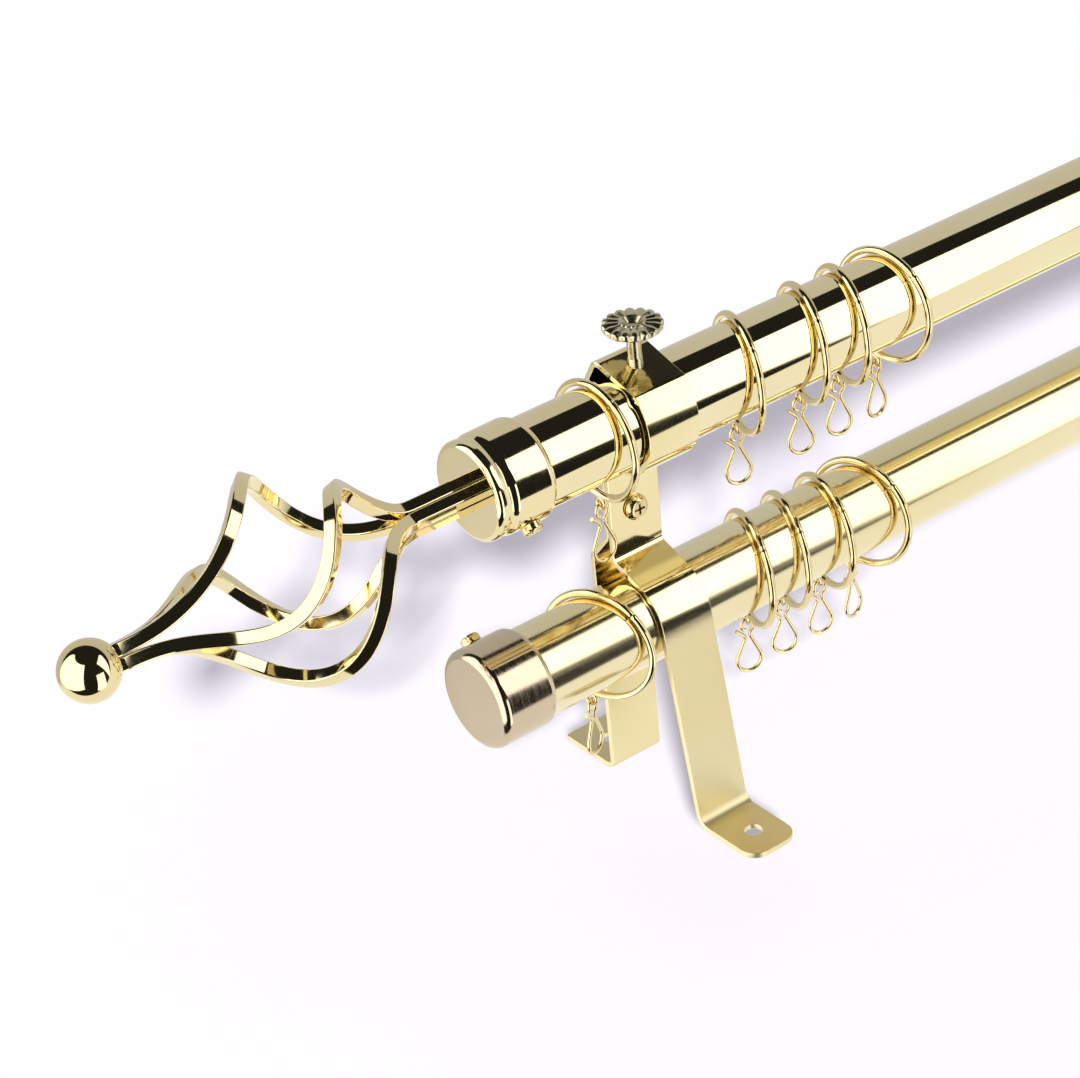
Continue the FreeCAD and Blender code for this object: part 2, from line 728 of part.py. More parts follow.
def hang_rings():
    ring = make_ring_pattern()
    clip = make_clip_pattern()
    doc.recompute()
    start = -size("bracket_spacing") / 2
    for label in RING_PLACES:
        axis = size("front_axis") if label.startswith("front") else size("back_axis")
        turn = FreeCAD.Rotation(FreeCAD.Vector(0, 0, 1), size(label + "_turn"))
        roll = FreeCAD.Rotation(FreeCAD.Vector(1, 0, 0), size(label + "_roll"))
        middle = FreeCAD.Vector(start + size(label + "_place"), pole_plane, axis - ring_drop)
        hung = doc.addObject("Part::Feature", label)
        hung.Shape = ring.Shape.copy()
        hung.Placement = FreeCAD.Placement(middle, turn.multiply(roll))
        keep(hung, label)
        # the clip hangs plumb from the lowest point of the eyelet
        eye = turn.multVec(roll.multVec(FreeCAD.Vector(0, 0, eye_centre)))
        hook_label = label.replace("ring", "clip")
        hook = doc.addObject("Part::Feature", hook_label)
        hook.Shape = clip.Shape.copy()
        hook.Placement = FreeCAD.Placement(
            middle + eye - FreeCAD.Vector(0, 0, size("eye_radius")), turn)
        keep(hook, hook_label)


for side, centre in (("left", -1), ("right", 1)):
    make_bracket("bracket_" + side, centre)
    make_clamp(side, centre)
    make_thumbscrew(side, centre)
    make_finial(side)
    make_cap(side)
hang_rings()
doc.recompute()

# Nothing is written unless every object is sound

for obj in doc.Objects:
    if "Invalid" in obj.State or "Error" in obj.State:
        raise RuntimeError("object failed: " + obj.Label)
for piece in pieces:
    if piece.Shape.isNull() or not piece.Shape.isValid():
        raise RuntimeError("shape is not sound: " + piece.Label)
for piece in pieces:
    piece.Shape.exportStep("parts/%s.step" % piece.Label)
    box = piece.Shape.BoundBox
    print("%-20s solids %d volume %9.1f  x %7.1f %7.1f  y %6.1f %6.1f  z %6.1f %6.1f" % (
        piece.Label, len(piece.Shape.Solids), piece.Shape.Volume,
        box.XMin, box.XMax, box.YMin, box.YMax, box.ZMin, box.ZMax))
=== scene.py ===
import bpy
import bmesh
import json
import math
from mathutils import Matrix, Vector


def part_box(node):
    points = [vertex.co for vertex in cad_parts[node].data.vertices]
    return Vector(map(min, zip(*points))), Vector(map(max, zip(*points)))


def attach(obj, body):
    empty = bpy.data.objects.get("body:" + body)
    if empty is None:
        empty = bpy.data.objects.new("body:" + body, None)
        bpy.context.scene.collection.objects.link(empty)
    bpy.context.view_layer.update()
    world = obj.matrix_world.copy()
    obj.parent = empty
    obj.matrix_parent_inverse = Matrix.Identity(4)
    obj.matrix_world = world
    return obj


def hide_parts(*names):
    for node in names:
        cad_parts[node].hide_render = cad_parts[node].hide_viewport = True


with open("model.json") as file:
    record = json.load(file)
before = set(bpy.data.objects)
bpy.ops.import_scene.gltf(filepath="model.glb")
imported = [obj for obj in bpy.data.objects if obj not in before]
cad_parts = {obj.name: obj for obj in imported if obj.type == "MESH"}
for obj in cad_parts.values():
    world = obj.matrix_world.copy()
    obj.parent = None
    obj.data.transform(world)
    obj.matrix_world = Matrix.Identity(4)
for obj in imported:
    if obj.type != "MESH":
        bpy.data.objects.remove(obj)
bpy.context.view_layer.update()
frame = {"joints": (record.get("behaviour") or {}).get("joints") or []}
scene = bpy.context.scene
scene.view_settings.view_transform = "Standard"

# Sizes are in millimetres and become metres as they reach a mesh
MM = 0.001


# Places read from the frame

def middle(node):
    """Middle of a node's box at rest, along X, Y and Z."""
    low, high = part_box(node)
    return [(a + b) / 2 for a, b in zip(low, high)]


tube_low, tube_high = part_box("front_pole")
TUBE = (tube_high.z - tube_low.z) / 2 / MM
POLE_Y = middle("front_pole")[1]
FRONT_Z = middle("front_pole")[2]
BACK_Z = middle("back_pole")[2]
SIDES = ("left", "right")

# Driving dimensions of the tubes and of the cups and caps on their ends

TUBE_WALL = 0.9
TUBE_EDGE = 0.2
TUBE_PLAY = 0.15
SOCKET_WALL = 1.25
SOCKET_FLOOR = 2.0
CUP_LENGTH = 18.0
CAP_LENGTH = 16.8
BALL_RADIUS = 7.8
BALL_FLAT = 6.1

# The bracket's strap, with the angles of its collar in degrees

STRAP_THICK = 1.6
STRAP_EDGE = 0.28
SEAT_GAP = 0.25
BEND_RADIUS = 2.4
FLAT_FRONT = 5.6
FLAT_RISE = 16.5
LAYER_GAP = 0.1
PLATEAU_GAP = 0.4
COLLAR_SHOULDER = 150.0
COLLAR_EXIT = 23.0
SHOULDER_BEND = 1.4
SADDLE_RISE = 4.0
NEAR_FOLD = 23.6
NEAR_FOLD_BEND = 4.2
NEAR_CORNER = 5.0
FAR_FOLD_GAP = 0.9
FAR_LEG_GAP = 1.9
FAR_CORNER = 1.0
JOG_TOP_RISE = 10.5
JOG_FOOT_RISE = 2.0
HOLE_TO_END = 9.5
WALL_HOLE = 2.5

# Screws

CLAMP_RADIUS = 2.0
CLAMP_PLAY = 0.2
PAN_RADIUS = 3.6
PAN_HEIGHT = 2.0
SET_SCREW_RADIUS = 1.5
SET_HEAD_RADIUS = 2.7
SET_HEAD_HEIGHT = 2.4
CUP_SCREW_LINE = 11.0
CAP_SCREW_LINE = 9.4
THUMB_SHAFT = 2.0
THUMB_PLAY = 0.06
THUMB_RADIUS = 8.0
THUMB_RIM = 3.0
THUMB_DOME = 1.3
PETALS = 16

# The cage: skew and lag are powers that move its swell and its winding towards the tip

BAR_SIDE = 3.5
BAR_GAP = 0.12
BAR_WELD = 1.0
BAR_INSET = 6.0
BUNDLE_RADIUS = (BAR_SIDE + BAR_GAP) / math.sqrt(2)
CAGE_RADIUS = 26.0
CAGE_LENGTH = 86.5
CAGE_OFFSET = 17.0
CAGE_TWIST = 123.0
CAGE_START = 103.0
CAGE_SKEW = 1.32
CAGE_LAG = 1.42

# Rings and wire clips

RING_WIRE = 1.05
RING_INSIDE = TUBE + 2.4
RING_OUTSIDE = RING_INSIDE + 2 * RING_WIRE
EYE_RADIUS = 1.5
EYE_WIRE = 0.6
EYE_WELD = 0.5
CLIP_WIRE = 0.55
CLIP_PLAY = 0.1
CLIP_EYE = 1.75
CLIP_HALF_WIDTH = 3.5
CLIP_NECK = 4.6
CLIP_LENGTH = 15.8

# Corners of a mesh that lie closer than this, in metres, are one
MERGE = 2e-6


# Nodes and colours

def linear(code):
    """An sRGB hex colour as linear red, green, blue and alpha."""
    shares = [int(code[i:i + 2], 16) / 255 for i in (1, 3, 5)]
    return [s / 12.92 if s <= 0.04045 else ((s + 0.055) / 1.055) ** 2.4 for s in shares] + [1.0]


def add(tree, kind, inputs=None, **settings):
    """Adds one node; an input is a value or the socket that feeds it."""
    node = tree.nodes.new(kind)
    for key, value in settings.items():
        setattr(node, key, value)
    for key, value in (inputs or {}).items():
        if isinstance(value, bpy.types.NodeSocket):
            tree.links.new(value, node.inputs[key])
        else:
            node.inputs[key].default_value = value
    return node


def per(millimetres):
    """Cycles per metre of a pattern that repeats every so many millimetres."""
    return 1000 / millimetres


def blank_material(name):
    material = bpy.data.materials.new(name)
    material.use_nodes = True
    material.node_tree.nodes.clear()
    return material, material.node_tree


def metal(name, colour, thin_plate_and_reflection_colour, smooth, rough, grain, bump_height, satin=None):
    """A plated metal: grain is the polish marks' size along X, Y and Z in millimetres, and the
    roughness runs between its two values along them. In random patches the colour drifts a
    little towards the second one: where the plate is thinner, and on the drawn wire as painted
    reflection of its gold neighbours. Satin is the roughness added below a band of heights (low
    and high, in millimetres), where a piece was polished only on top."""
    drift_patch = 38.0
    material, tree = blank_material(name)
    coords = add(tree, "ShaderNodeTexCoord")
    marks_map = add(tree, "ShaderNodeMapping", {
        "Vector": coords.outputs["Object"], "Scale": [per(g) for g in grain]})
    marks = add(tree, "ShaderNodeTexNoise", {
        "Vector": marks_map.outputs["Vector"], "Scale": 1.0, "Detail": 3.0, "Roughness": 0.6})
    drift = add(tree, "ShaderNodeTexNoise", {
        "Vector": coords.outputs["Object"], "Scale": per(drift_patch), "Detail": 2.0})
    share = add(tree, "ShaderNodeMapRange", {
        "Value": drift.outputs["Fac"], "From Min": 0.35, "From Max": 0.65,
        "To Min": 0.0, "To Max": 0.5})
    # mix towards the second colour: thinner plate, and on the drawn wire painted reflection
    tint = add(tree, "ShaderNodeMix", {
        "Factor": share.outputs["Result"], "A": linear(colour), "B": linear(thin_plate_and_reflection_colour)},
        data_type="RGBA")
    gloss = add(tree, "ShaderNodeMapRange", {
        "Value": marks.outputs["Fac"], "From Min": 0.3, "From Max": 0.7,
        "To Min": smooth, "To Max": rough})
    roughness = gloss.outputs["Result"]
    if satin:
        more, bottom, top = satin
        place = add(tree, "ShaderNodeSeparateXYZ", {"Vector": coords.outputs["Object"]})
        lower = add(tree, "ShaderNodeMapRange", {
            "Value": place.outputs["Z"], "From Min": bottom * MM, "From Max": top * MM,
            "To Min": more, "To Max": 0.0}, interpolation_type="SMOOTHSTEP")
        roughness = add(tree, "ShaderNodeMath", {0: roughness, 1: lower.outputs["Result"]},
                        operation="ADD").outputs[0]
    bump = add(tree, "ShaderNodeBump", {
        "Height": marks.outputs["Fac"], "Strength": 1.0, "Distance": bump_height * MM})
    surface = add(tree, "ShaderNodeBsdfPrincipled", {
        "Base Color": tint.outputs[2], "Metallic": 1.0, "Roughness": roughness,
        "Normal": bump.outputs["Normal"]})
    add(tree, "ShaderNodeOutputMaterial", {"Surface": surface.outputs["BSDF"]})
    return material


# Electroplated brass on drawn tube, polished along its length: near mirror, pale gold
polished_tube = metal("brass plate, polished tube", "#F0E3B8", "#EBD9A4", 0.035, 0.065,
                      (60.0, 0.9, 0.9), 0.0003)
# The same plate on the back tube, which was polished less far: softer edges in what it mirrors
soft_tube = metal("brass plate, polished tube, softer", "#F0E3B8", "#EBD9A4", 0.11, 0.15,
                  (60.0, 0.9, 0.9), 0.0003)
# The same plate on turned and welded pieces, buffed all round
buffed_brass = metal("brass plate, buffed turnings", "#EFE0B2", "#EAD59A", 0.045, 0.085,
                     (2.2, 2.2, 2.2), 0.0003)
# The same plate on bright rolled strip: buffed round the collar, satin on the legs and feet
polished_strip = metal("brass plate, rolled strip, buffed collar", "#F1E3B4", "#EBD79C",
                       0.07, 0.09, (12.0, 12.0, 12.0), 0.0, satin=(0.33, 53.0, 60.0))
# Champagne nickel on a turned cap, fine satin from the lathe: a pinkish grey gold
champagne = metal("champagne plate, satin turned cap", "#D3C1A4", "#C6B193", 0.09, 0.17,
                  (0.25, 9.0, 9.0), 0.0005)
# Brass plated drawn wire, bright dipped. Its deeper second gold is painted reflection of the
# gold neighbours it mirrors, laid in random patches
drawn_wire = metal("brass plate, bright drawn wire", "#EBDAAA", "#E0C583", 0.07, 0.13,
                   (1.6, 1.6, 1.6), 0.0005)
# The flower head is cast and barrel plated: duller, and a little greyer in random patches
cast_plate = metal("brass plate, cast and barrel plated", "#CDC5A4", "#BCB189", 0.17, 0.26,
                   (1.5, 1.5, 1.5), 0.0010)
# Small machine screws, barrel plated: gold, a little duller than the tube
barrel_plate = metal("brass plate, barrel plated screws", "#E6D3A0", "#D6BC80", 0.12, 0.22,
                     (1.2, 1.2, 1.2), 0.0010)


# Modelling helpers

def bend(corners, step=7.0):
    """Points along a run of corners (a, b, radius of the bend), with an arc at each bend."""
    points = [Vector(corners[0][:2])]
    for before, here, after in zip(corners, corners[1:], corners[2:]):
        corner = Vector(here[:2])
        way_in = (corner - Vector(before[:2])).normalized()
        way_out = (Vector(after[:2]) - corner).normalized()
        turn = way_in.angle_signed(way_out) * -1
        radius = here[2]
        if radius <= 0 or abs(turn) < 1e-6:
            points.append(corner)
            continue
        start = corner - way_in * radius * math.tan(abs(turn) / 2)
        side = Vector((-way_in.y, way_in.x)) * math.copysign(1, turn)
        centre = start + side * radius
        count = max(2, math.ceil(math.degrees(abs(turn)) / step))
        for i in range(count + 1):
            arm = Matrix.Rotation(turn * i / count, 2) @ (start - centre)
            points.append(centre + arm)
    points.append(Vector(corners[-1][:2]))
    return points


def alone(obj):
    """Makes one object the only selected and active one."""
    bpy.ops.object.select_all(action="DESELECT")
    obj.select_set(True)
    bpy.context.view_layer.objects.active = obj


def primitive(name, adder, **settings):
    """Adds a plain shape, the only one selected, with its place, turn and size in its mesh."""
    bpy.ops.object.select_all(action="DESELECT")
    adder(**settings)
    bpy.ops.object.transform_apply(location=True, rotation=True, scale=True)
    obj = bpy.context.object
    obj.name = name
    obj.data.name = name
    return obj


def editing():
    bpy.ops.object.mode_set(mode="EDIT")
    bpy.ops.mesh.select_mode(type="VERT")


def done():
    bpy.ops.object.mode_set(mode="OBJECT")


def select_where(obj, wanted):
    """In edit mode, selects the vertices whose place satisfies wanted."""
    mesh = bmesh.from_edit_mesh(obj.data)
    for vertex in mesh.verts:
        vertex.select = wanted(vertex.co)
    mesh.select_flush_mode()
    bmesh.update_edit_mesh(obj.data)


def seed_vertex(name, place):
    """A plane merged to one vertex, left in edit mode, to be extruded along an outline."""
    obj = primitive(name, bpy.ops.mesh.primitive_plane_add, size=MM, location=(0, 0, 0))
    editing()
    bpy.ops.mesh.select_all(action="SELECT")
    bpy.ops.mesh.merge(type="CENTER")
    bpy.ops.transform.translate(value=place)
    return obj


def extrude_along(points):
    for here, after in zip(points, points[1:]):
        bpy.ops.mesh.extrude_region_move(TRANSFORM_OT_translate={"value": after - here})


def tidy_mesh():
    bpy.ops.mesh.select_all(action="SELECT")
    bpy.ops.mesh.remove_doubles(threshold=MERGE)
    bpy.ops.mesh.normals_make_consistent(inside=False)


def turned(name, corners, sides=128, step=12.0):
    """A shape turned about X from an outline of (x, radius, bend) corners in millimetres."""
    outline = [Vector((p.x, 0, p.y)) * MM for p in bend(corners, step)]
    obj = seed_vertex(name, outline[0])
    extrude_along(outline)
    bpy.ops.mesh.select_all(action="SELECT")
    bpy.ops.mesh.spin(steps=sides, angle=2 * math.pi, center=(0, 0, 0), axis=(1, 0, 0))
    tidy_mesh()
    done()
    return obj


def apply_modifier(obj, kind, **settings):
    alone(obj)
    modifier = obj.modifiers.new(kind.lower(), kind)
    for key, value in settings.items():
        setattr(modifier, key, value)
    bpy.ops.object.modifier_apply(modifier=modifier.name)


def carve(obj, cutter, operation="DIFFERENCE"):
    """Cuts obj with the cutter, which is then removed."""
    apply_modifier(obj, "BOOLEAN", object=cutter, operation=operation, solver="EXACT")
    bpy.data.objects.remove(cutter)


def pin(radius, length, place, axis="Z"):
    """A plain round cutter in millimetres, centred at place in metres."""
    turn = {"X": (0, math.pi / 2, 0), "Y": (math.pi / 2, 0, 0), "Z": (0, 0, 0)}[axis]
    return primitive("pin", bpy.ops.mesh.primitive_cylinder_add, vertices=64,
                     radius=radius * MM, depth=length * MM, location=place, rotation=turn)


def move(obj, matrix):
    """Moves the mesh itself, so that the object stays at the origin."""
    obj.data.transform(matrix)
    obj.data.update()
    return obj


def copy_of(obj, name, matrix):
    twin = obj.copy()
    twin.data = obj.data.copy()
    twin.name = name
    twin.data.name = name
    scene.collection.objects.link(twin)
    return move(twin, matrix)


def finish_piece(obj, material, slot, node, body="pole_set", angle=35.0, weighted=True):
    """Shades a piece, gives it its material, and ties it to the frame."""
    obj.data.materials.clear()
    obj.data.materials.append(material)
    alone(obj)
    bpy.ops.object.shade_smooth_by_angle(angle=math.radians(angle))
    if weighted:
        apply_modifier(obj, "WEIGHTED_NORMAL", keep_sharp=True)
    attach(obj, body)
    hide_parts(node)


def end_matrix(side, node, axis_z):
    """Places a piece drawn inwards from the end face of a node, its X along the pole."""
    low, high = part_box(node)
    if side == "left":
        return Matrix.Translation((low.x, POLE_Y, axis_z))
    return Matrix.Translation((high.x, POLE_Y, axis_z)) @ Matrix.Rotation(math.pi, 4, "Z")


def at_both_ends(pattern, name, shell, node, axis_z, material, slot,
                 stand=Matrix.Identity(4), **shading):
    """Copies a pattern to both ends of a pole. Shell is the node whose end face it is drawn
    from, and node the one it replaces, both with %s where the side's name goes."""
    for side in SIDES:
        placed = end_matrix(side, shell % side, axis_z) @ stand
        one = copy_of(pattern, "%s_%s" % (side, name), placed)
        finish_piece(one, material, slot, node % side, **shading)


# Poles

def make_poles():
    inside = TUBE - TUBE_WALL
    for name, node, axis_z, finish in (("front_tube", "front_pole", FRONT_Z, polished_tube),
                                       ("back_tube", "back_pole", BACK_Z, soft_tube)):
        low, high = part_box(node)
        length = (high.x - low.x) / MM
        outline = [(length / 2, inside, 0), (0, inside, 0), (0, TUBE, TUBE_EDGE),
                   (length, TUBE, TUBE_EDGE), (length, inside, 0), (length / 2, inside, 0)]
        tube = turned(name, outline, sides=192)
        move(tube, Matrix.Translation((low.x, POLE_Y, axis_z)))
        finish_piece(tube, finish, "pole_brass", node)


# Brackets

def strap_run():
    """Corners of the strap's middle line, seen along X, from the near foot to the far foot."""
    half = STRAP_THICK / 2
    seat = TUBE + SEAT_GAP + half
    plateau = TUBE + PLATEAU_GAP + half
    front = FRONT_Z / MM
    back = BACK_Z / MM
    back_top = back + TUBE
    layer_rear = FLAT_FRONT + STRAP_THICK + LAYER_GAP
    low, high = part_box("bracket_left")
    near_end = low.y / MM - POLE_Y / MM
    far_end = high.y / MM - POLE_Y / MM
    near_fold = (-NEAR_FOLD, half)
    far_fold = (TUBE + FAR_FOLD_GAP, half)
    saddle_start = (FLAT_FRONT, back_top + SADDLE_RISE)

    def tangent_meet(axis, first, second):
        """Where the lines that touch the seat at two angles round an axis meet."""
        halfway = math.radians((first + second) / 2)
        reach = seat / math.cos(math.radians(abs(first - second) / 2))
        return (reach * math.cos(halfway), axis + reach * math.sin(halfway))

    def touching_normal(axis, point, side):
        """Angle at which a line from a point touches the seat round an axis."""
        away = math.hypot(point[0], point[1] - axis)
        angle = math.degrees(math.atan2(point[1] - axis, point[0]))
        return angle + side * math.degrees(math.acos(seat / away))

    # the flat under the thumbscrew rises a little towards the far side
    rise = math.radians(FLAT_RISE)

    def flat_end(angle):
        """Where that flat meets the line that touches the front seat at an angle."""
        lean = math.radians(angle)
        along = (seat - plateau * math.sin(lean)) / math.cos(lean - rise)
        return (along * math.cos(rise), front + plateau + along * math.sin(rise))

    over = touching_normal(back, saddle_start, 1)
    down = touching_normal(back, near_fold, -1) % 360
    lean_out = math.radians(-COLLAR_EXIT)
    exit_drop = (seat - layer_rear * math.cos(lean_out)) / math.sin(lean_out)
    return [
        (near_end, half, 0),
        (*near_fold, NEAR_FOLD_BEND),
        (*tangent_meet(back, down, over), seat),
        (*saddle_start, BEND_RADIUS),
        (FLAT_FRONT, front - seat, BEND_RADIUS),
        (-seat, front - seat, seat),
        (*tangent_meet(front, 180, COLLAR_SHOULDER), seat),
        (*flat_end(COLLAR_SHOULDER), SHOULDER_BEND),
        (*flat_end(180 - COLLAR_SHOULDER), BEND_RADIUS),
        (*tangent_meet(front, 180 - COLLAR_SHOULDER, 0), seat),
        (*tangent_meet(front, 0, -COLLAR_EXIT), seat),
        (layer_rear, front + exit_drop, BEND_RADIUS),
        (layer_rear, back_top + JOG_TOP_RISE, BEND_RADIUS),
        (TUBE + FAR_LEG_GAP, back_top + JOG_FOOT_RISE, BEND_RADIUS),
        (*far_fold, BEND_RADIUS),
        (far_end, half, 0),
    ]


def round_foot(strap, end_y, radius):
    """Rounds the two corners of the strap's end at end_y, in plan."""
    alone(strap)
    editing()
    select_where(strap, lambda place: abs(place.y - end_y) < MERGE)
    bpy.ops.mesh.bevel(offset=radius * MM, segments=10, affect="VERTICES")
    done()


def make_straps():
    """One strip of metal for each bracket, drawn as a sheet along its run and then thickened."""
    low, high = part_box("bracket_left")
    width = high.x - low.x
    run = [Vector((-width / 2, p.x * MM, p.y * MM)) for p in bend(strap_run(), 5.0)]
    strap = seed_vertex("strap_pattern", run[0])
    extrude_along(run)
    bpy.ops.mesh.select_all(action="SELECT")
    bpy.ops.mesh.extrude_region_move(TRANSFORM_OT_translate={"value": (width, 0, 0)})
    tidy_mesh()
    done()
    round_foot(strap, run[0].y, NEAR_CORNER)
    round_foot(strap, run[-1].y, FAR_CORNER)
    apply_modifier(strap, "SOLIDIFY", thickness=STRAP_THICK * MM, offset=0.0,
                   use_even_offset=True, use_quality_normals=True)
    through = 3 * STRAP_THICK
    for y in (run[0].y + HOLE_TO_END * MM, run[-1].y - HOLE_TO_END * MM):
        carve(strap, pin(WALL_HOLE, through, (0, y, STRAP_THICK / 2 * MM)))
    clamp_z = middle("clamp_screw_left")[2]
    layers_y = (FLAT_FRONT + 1) * MM
    through_both = 7 * STRAP_THICK
    carve(strap, pin(CLAMP_RADIUS + CLAMP_PLAY, through_both, (0, layers_y, clamp_z), "Y"))
    flat_z = FRONT_Z + (TUBE + PLATEAU_GAP + STRAP_THICK / 2) * MM
    carve(strap, pin(THUMB_SHAFT + THUMB_PLAY, through, (0, 0, flat_z)))
    apply_modifier(strap, "BEVEL", width=STRAP_EDGE * MM, segments=2, limit_method="ANGLE",
                   angle_limit=math.radians(50))
    for side in SIDES:
        node = "bracket_" + side
        one = copy_of(strap, side + "_strap", Matrix.Translation((middle(node)[0], POLE_Y, 0)))
        finish_piece(one, polished_strip, "bracket_brass", node)
    bpy.data.objects.remove(strap)


# Screws, drawn along X with the seat of the head at 0

def cross_cutter(width, length, depth, top):
    """Two crossed blades, narrower at the bottom, that sink depth below top along X."""
    blades = []
    for turn in (0, math.pi / 2):
        blade = primitive("blade", bpy.ops.mesh.primitive_cube_add, size=1,
                          location=((top + depth * 0.1) * MM, 0, 0),
                          scale=(depth * 2.2 * MM, width * MM, length * MM))
        editing()
        select_where(blade, lambda place: place.x < top * MM)
        bpy.ops.transform.resize(value=(1, 0.6, 0.75), center_override=(0, 0, 0))
        done()
        blades.append(move(blade, Matrix.Rotation(turn, 4, "X")))
    carve(blades[0], blades[1], "UNION")
    return blades[0]


def thread(start, end, radius, pitch=0.7, depth=0.3):
    """Outline corners of a screw thread's ridges between two places along X."""
    count = round((end - start) / pitch)
    ridges = []
    for i in range(count):
        x = start + (end - start) * i / count
        ridges.append((x, radius - depth, 0))
        ridges.append((x + (end - start) / count / 2, radius, 0))
    return ridges


def make_clamps():
    """Pan-head screw and hexagon nut through the double flat of each bracket."""
    low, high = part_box("clamp_screw_left")
    nut_low, nut_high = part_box("clamp_nut_left")
    length = (high.y - low.y) / MM - PAN_HEIGHT
    tip = CLAMP_RADIUS - 0.4
    crown = 2.5
    outline = [(-length, 0, 0), (-length, tip, 0)]
    outline += thread(-length + 0.3, -0.6, CLAMP_RADIUS)
    outline += [(-0.2, CLAMP_RADIUS, 0), (0, CLAMP_RADIUS, 0), (0, PAN_RADIUS, 0.2),
                (0.8, PAN_RADIUS, 0.9), (PAN_HEIGHT, crown, 1.0), (PAN_HEIGHT, 0, 0)]
    screw = turned("clamp_screw_pattern", outline, sides=64)
    carve(screw, cross_cutter(width=0.85, length=3.9, depth=1.3, top=PAN_HEIGHT))
    # the nut is a disc with sloped edges, cut to a hexagon
    height = (nut_high.y - nut_low.y) / MM
    corner = (nut_high.x - nut_low.x) / 2 / MM
    disc = corner + 0.02
    face = corner * 0.86
    slope = 0.45
    nut = turned("clamp_nut_pattern", [(0, 0, 0), (0, face, 0), (slope, disc, 0.1),
                                       (height - slope, disc, 0.1), (height, face, 0),
                                       (height, 0, 0)], sides=96)
    hexagon = primitive("hexagon", bpy.ops.mesh.primitive_cylinder_add, vertices=6,
                        radius=corner * MM, depth=height * 1.4 * MM,
                        location=(height / 2 * MM, 0, 0), rotation=(0, math.pi / 2, 0))
    move(hexagon, Matrix.Rotation(math.pi / 2, 4, "X"))
    carve(nut, hexagon, "INTERSECT")
    carve(nut, pin(CLAMP_RADIUS, 3 * height, (0, 0, 0), "X"))
    towards_front = Matrix.Rotation(-math.pi / 2, 4, "Z")
    towards_rear = Matrix.Rotation(math.pi / 2, 4, "Z")
    for side in SIDES:
        node = "clamp_screw_" + side
        x = middle(node)[0]
        z = middle(node)[2]
        seat = Matrix.Translation((x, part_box(node)[0].y + PAN_HEIGHT * MM, z))
        one = copy_of(screw, side + "_pan_head_screw", seat @ towards_front)
        finish_piece(one, barrel_plate, "screw_brass", node)
        rear = Matrix.Translation((x, nut_low.y, z))
        one = copy_of(nut, side + "_hexagon_nut", rear @ towards_rear)
        finish_piece(one, barrel_plate, "screw_brass", "clamp_nut_" + side)
    bpy.data.objects.remove(screw)
    bpy.data.objects.remove(nut)


def make_set_screws():
    """Low round heads, slotted crosswise to the rim, on the cups and caps. They are drawn
    with the pole's axis at 0."""
    seat = TUBE + TUBE_PLAY + SOCKET_WALL
    top = seat + SET_HEAD_HEIGHT
    tip = TUBE + 0.02
    outline = [(tip, 0, 0), (tip, SET_SCREW_RADIUS, 0), (seat, SET_SCREW_RADIUS, 0),
               (seat, SET_HEAD_RADIUS, 0.15), (top, SET_HEAD_RADIUS, 0.8), (top, 0, 0)]
    pattern = turned("set_screw_pattern", outline, sides=64)
    carve(pattern, cross_cutter(width=0.9, length=2.6 * SET_HEAD_RADIUS, depth=1.2, top=top))
    for family, shell, line, angle, axis_z in (
            ("finial", "finial_cup_%s", CUP_SCREW_LINE, 224.0, FRONT_Z),
            ("cap", "end_cap_%s", CAP_SCREW_LINE, 35.0, BACK_Z)):
        # drawn along X: stand it up along Z, turn it half a cross, then lean it round the pole
        stand = (Matrix.Translation((line * MM, 0, 0))
                 @ Matrix.Rotation(math.radians(angle - 90), 4, "X")
                 @ Matrix.Rotation(-math.pi / 2, 4, "Y") @ Matrix.Rotation(math.pi / 4, 4, "X"))
        at_both_ends(pattern, family + "_set_screw", shell, family + "_screw_%s", axis_z,
                     barrel_plate, "screw_brass", stand)
    bpy.data.objects.remove(pattern)


